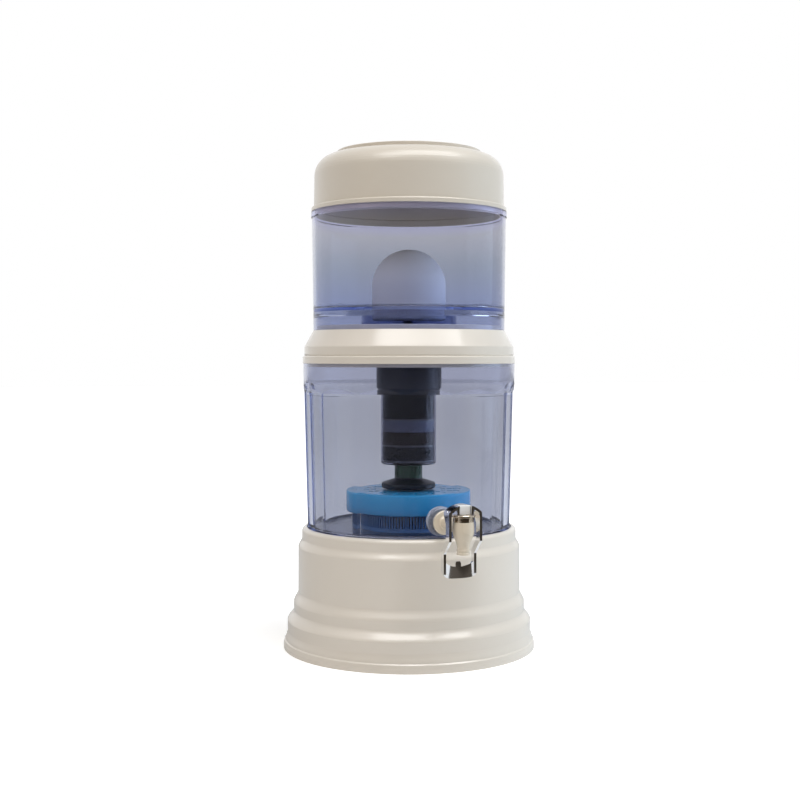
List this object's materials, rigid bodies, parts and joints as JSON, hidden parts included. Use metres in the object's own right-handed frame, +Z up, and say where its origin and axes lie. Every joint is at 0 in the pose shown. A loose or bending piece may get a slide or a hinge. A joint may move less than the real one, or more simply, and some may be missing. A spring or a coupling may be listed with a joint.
{
  "type": "gravity water filter with tap",
  "caption": "Tall gravity water filter: cream stepped stand, tinted tanks, ceramic dome, layered cartridge, mineral case and a chromed push-lever tap.",
  "frame": {"origin": "centre of the stand's foot, on the surface it stands on", "axes": "+Z up along the axis of the tanks, the tap points along -Y"},
  "size_m": [0.2813, 0.3253, 0.5545],
  "materials": {
    "cream_plastic": "gloss",
    "tinted_tank": "gloss",
    "case_blue": "gloss",
    "case_navy": "satin",
    "smoke_plastic": "gloss",
    "dark_plastic": "satin",
    "green_plastic": "satin",
    "white_plastic": "gloss",
    "tap_cream": "gloss",
    "white_rubber": "matte",
    "grey_rubber": "matte",
    "dome_ceramic": "matte",
    "pad_felt": "matte",
    "carbon": "matte",
    "silica": "matte",
    "brown_sand": "matte",
    "dark_balls": "matte",
    "stone": "matte",
    "chromed": "polished",
    "steel": "satin"
  },
  "bodies": {
    "stand": {"base_stand": "cream_plastic"},
    "lower": {"lower_tank": "tinted_tank", "mineral_case_body": "case_navy", "mineral_case_lid": "case_blue", "mineral_stones": "stone", "tap_body": "tap_cream", "tap_outer_gasket": "white_rubber", "tap_inner_gasket": "white_rubber", "tap_nut": "white_plastic", "tap_bonnet": "chromed", "valve_spring": "steel"},
    "cover": {"middle_cover": "cream_plastic"},
    "upper": {"upper_tank": "tinted_tank", "ceramic_dome": "dome_ceramic", "dome_base": "white_plastic", "dome_washer": "white_rubber", "dome_nut": "white_plastic", "cartridge_seal": "grey_rubber", "cartridge_cap": "smoke_plastic", "cartridge_housing": "smoke_plastic", "cartridge_pads": "pad_felt", "carbon_layer": "carbon", "silica_layer": "silica", "mineral_sand_layer": "brown_sand", "ceramic_ball_layer": "dark_balls", "outlet_neck": "green_plastic", "diffuser_cone": "dark_plastic"},
    "top_lid": {"lid": "cream_plastic"},
    "valve": {"plunger": "white_plastic", "seat_cup": "white_rubber"},
    "tap_lever": {"lever": "chromed", "lever_pin": "steel"}
  },
  "joints": [
    {"name": "lower_tank_lift", "type": "slide", "parent": "stand", "child": "lower", "axis": [0, 0, 1], "range_m": [0, 0.1]},
    {"name": "cover_lift", "type": "slide", "parent": "lower", "child": "cover", "axis": [0, 0, 1], "range_m": [0, 0.15]},
    {"name": "upper_tank_lift", "type": "slide", "parent": "cover", "child": "upper", "axis": [0, 0, 1], "range_m": [0, 0.19]},
    {"name": "lid_lift", "type": "slide", "parent": "upper", "child": "top_lid", "axis": [0, 0, 1], "range_m": [0, 0.09]},
    {"name": "plunger_slide", "type": "slide", "parent": "lower", "child": "valve", "axis": [0, 0, 1], "range_m": [0, 0.00205], "deforming": ["valve_spring"]},
    {"name": "lever_tilt", "type": "hinge", "parent": "valve", "child": "tap_lever", "pos_m": [0, -0.17243, 0.17], "axis": [1, 0, 0], "range_deg": [0, 22], "stiffness_Nm_per_rad": 0.4, "springref_deg": -14.32}
  ],
  "couplings": [
    {"joint": "plunger_slide", "follows": "lever_tilt", "m_per_rad": 0.0052}
  ]
}
